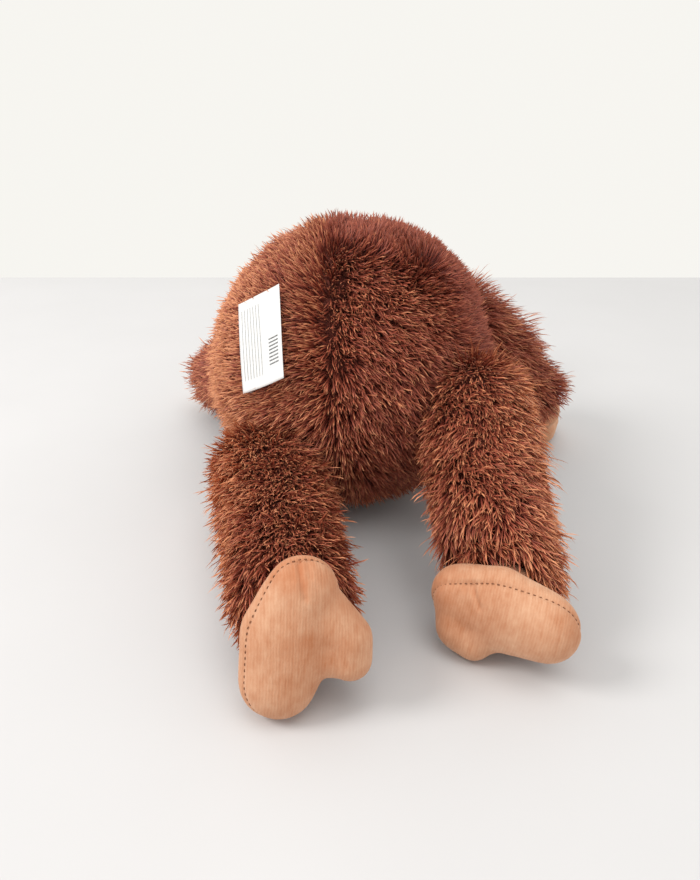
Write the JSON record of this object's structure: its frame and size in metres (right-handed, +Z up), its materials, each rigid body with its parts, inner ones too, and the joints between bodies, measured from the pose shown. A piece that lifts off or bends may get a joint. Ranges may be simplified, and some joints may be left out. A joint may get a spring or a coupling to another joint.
{
  "type": "stuffed monkey",
  "caption": "Soft stuffed monkey lying on its belly, shaggy brown plush with peach velour face, belly, hands and feet; limbs, neck, ears and care label move at their seams.",
  "frame": {"origin": "on the ground under the middle of the toy's bounding box, with the toy lying on its belly", "axes": "+Z up, +Y from the head towards the rump and the soles, +X to the monkey's own left"},
  "size_m": [0.2798, 0.4472, 0.1583],
  "materials": {
    "long_pile_plush": "shaggy long pile, slight sheen at the tips",
    "velour": "short-pile knitted velour, fine lengthwise ribs",
    "satin": "white satin ribbon",
    "filling": "loose polyester fibre",
    "thread": "matt thread",
    "washer": "moulded",
    "black_plastic": "polished"
  },
  "bodies": {
    "torso": {"back_panel_left": "long_pile_plush", "back_panel_right": "long_pile_plush", "belly_panel": "velour", "torso_filling": "filling", "label_tab": "satin"},
    "label": {"care_label": "satin"},
    "neck": {"neck_seam": "thread"},
    "head": {"head_panel_left": "long_pile_plush", "head_panel_right": "long_pile_plush", "face_panel": "velour", "head_filling": "filling", "muzzle_panel": "velour", "muzzle_filling": "filling", "eye_left": "black_plastic", "eye_right": "black_plastic", "eye_washer_left": "washer", "eye_washer_right": "washer", "nose": "black_plastic", "nose_washer": "washer", "mouth_stitch": "thread"},
    "ear_left": {"ear_back_left": "long_pile_plush", "ear_front_left": "velour"},
    "ear_right": {"ear_back_right": "long_pile_plush", "ear_front_right": "velour"},
    "shoulder_left": {"shoulder_seam_left": "thread"},
    "arm_left": {"arm_sleeve_left": "long_pile_plush", "arm_filling_left": "filling"},
    "hand_left": {"hand_palm_left": "velour", "hand_back_left": "velour", "hand_filling_left": "filling"},
    "hip_left": {"hip_seam_left": "thread"},
    "leg_left": {"leg_sleeve_left": "long_pile_plush", "leg_filling_left": "filling"},
    "foot_left": {"foot_sole_left": "velour", "foot_upper_left": "velour", "foot_filling_left": "filling"},
    "shoulder_right": {"shoulder_seam_right": "thread"},
    "arm_right": {"arm_sleeve_right": "long_pile_plush", "arm_filling_right": "filling"},
    "hand_right": {"hand_palm_right": "velour", "hand_back_right": "velour", "hand_filling_right": "filling"},
    "hip_right": {"hip_seam_right": "thread"},
    "leg_right": {"leg_sleeve_right": "long_pile_plush", "leg_filling_right": "filling"},
    "foot_right": {"foot_sole_right": "velour", "foot_upper_right": "velour", "foot_filling_right": "filling"}
  },
  "joints": [
    {"name": "neck_turn", "type": "hinge", "parent": "torso", "child": "neck", "pos_m": [0.00881, -0.08928, 0.0694], "axis": [0, -0.2079, 0.9781], "range_deg": [-20, 20]},
    {"name": "head_nod", "type": "hinge", "parent": "neck", "child": "head", "pos_m": [0.00881, -0.08928, 0.0694], "axis": [-1, 0, 0], "range_deg": [-11, 12]},
    {"name": "shoulder_swing_left", "type": "hinge", "parent": "torso", "child": "shoulder_left", "pos_m": [0.0871, -0.04362, 0.052], "axis": [-1, 0, 0], "range_deg": [-90, 6]},
    {"name": "shoulder_splay_left", "type": "hinge", "parent": "shoulder_left", "child": "arm_left", "pos_m": [0.0871, -0.04362, 0.052], "axis": [0, -0.3451, 0.9386], "range_deg": [-3, 42]},
    {"name": "wrist_left", "type": "hinge", "parent": "arm_left", "child": "hand_left", "pos_m": [0.1191, -0.11162, 0.027], "axis": [-0.9976, -0.0698, 0], "range_deg": [-12, 30]},
    {"name": "shoulder_swing_right", "type": "hinge", "parent": "torso", "child": "shoulder_right", "pos_m": [-0.0549, -0.04162, 0.086], "axis": [-1, 0, 0], "range_deg": [-22, 66]},
    {"name": "shoulder_splay_right", "type": "hinge", "parent": "shoulder_right", "child": "arm_right", "pos_m": [-0.0549, -0.04162, 0.086], "axis": [0, 0.9945, 0.1047], "range_deg": [-24, 25]},
    {"name": "wrist_right", "type": "hinge", "parent": "arm_right", "child": "hand_right", "pos_m": [-0.1169, -0.03562, 0.029], "axis": [-0.9903, 0.1392, 0], "range_deg": [-12, 30]},
    {"name": "hip_swing_left", "type": "hinge", "parent": "torso", "child": "hip_left", "pos_m": [0.0611, 0.08138, 0.039], "axis": [-1, 0, 0], "range_deg": [-16, 46]},
    {"name": "hip_splay_left", "type": "hinge", "parent": "hip_left", "child": "leg_left", "pos_m": [0.0611, 0.08138, 0.039], "axis": [0, -0.0482, -0.9988], "range_deg": [-1.5, 42]},
    {"name": "ankle_left", "type": "hinge", "parent": "leg_left", "child": "foot_left", "pos_m": [0.0396, 0.19338, 0.0336], "axis": [-1, 0, 0], "range_deg": [-8, 9]},
    {"name": "hip_swing_right", "type": "hinge", "parent": "torso", "child": "hip_right", "pos_m": [-0.0499, 0.07338, 0.073], "axis": [-1, 0, 0], "range_deg": [-38, 25]},
    {"name": "hip_splay_right", "type": "hinge", "parent": "hip_right", "child": "leg_right", "pos_m": [-0.0499, 0.07338, 0.073], "axis": [0, 0.4456, 0.8952], "range_deg": [-9, 36]},
    {"name": "ankle_right", "type": "hinge", "parent": "leg_right", "child": "foot_right", "pos_m": [-0.0519, 0.16938, 0.02522], "axis": [-0.1953, 0.0877, 0.9768], "range_deg": [-8, 12]},
    {"name": "ear_bend_left", "type": "hinge", "parent": "head", "child": "ear_left", "pos_m": [0.07131, -0.15093, 0.07297], "axis": [0, 0.2079, -0.9781], "range_deg": [-20, 30], "stiffness_Nm_per_rad": 0.02},
    {"name": "ear_bend_right", "type": "hinge", "parent": "head", "child": "ear_right", "pos_m": [-0.05369, -0.15093, 0.07297], "axis": [0, -0.2079, 0.9781], "range_deg": [-20, 30], "stiffness_Nm_per_rad": 0.02},
    {"name": "label_flap", "type": "hinge", "parent": "torso", "child": "label", "pos_m": [0.07548, 0.0615, 0.10473], "axis": [-0.08, 0.5803, -0.8104], "range_deg": [-6, 110], "stiffness_Nm_per_rad": 0.0004}
  ]
}
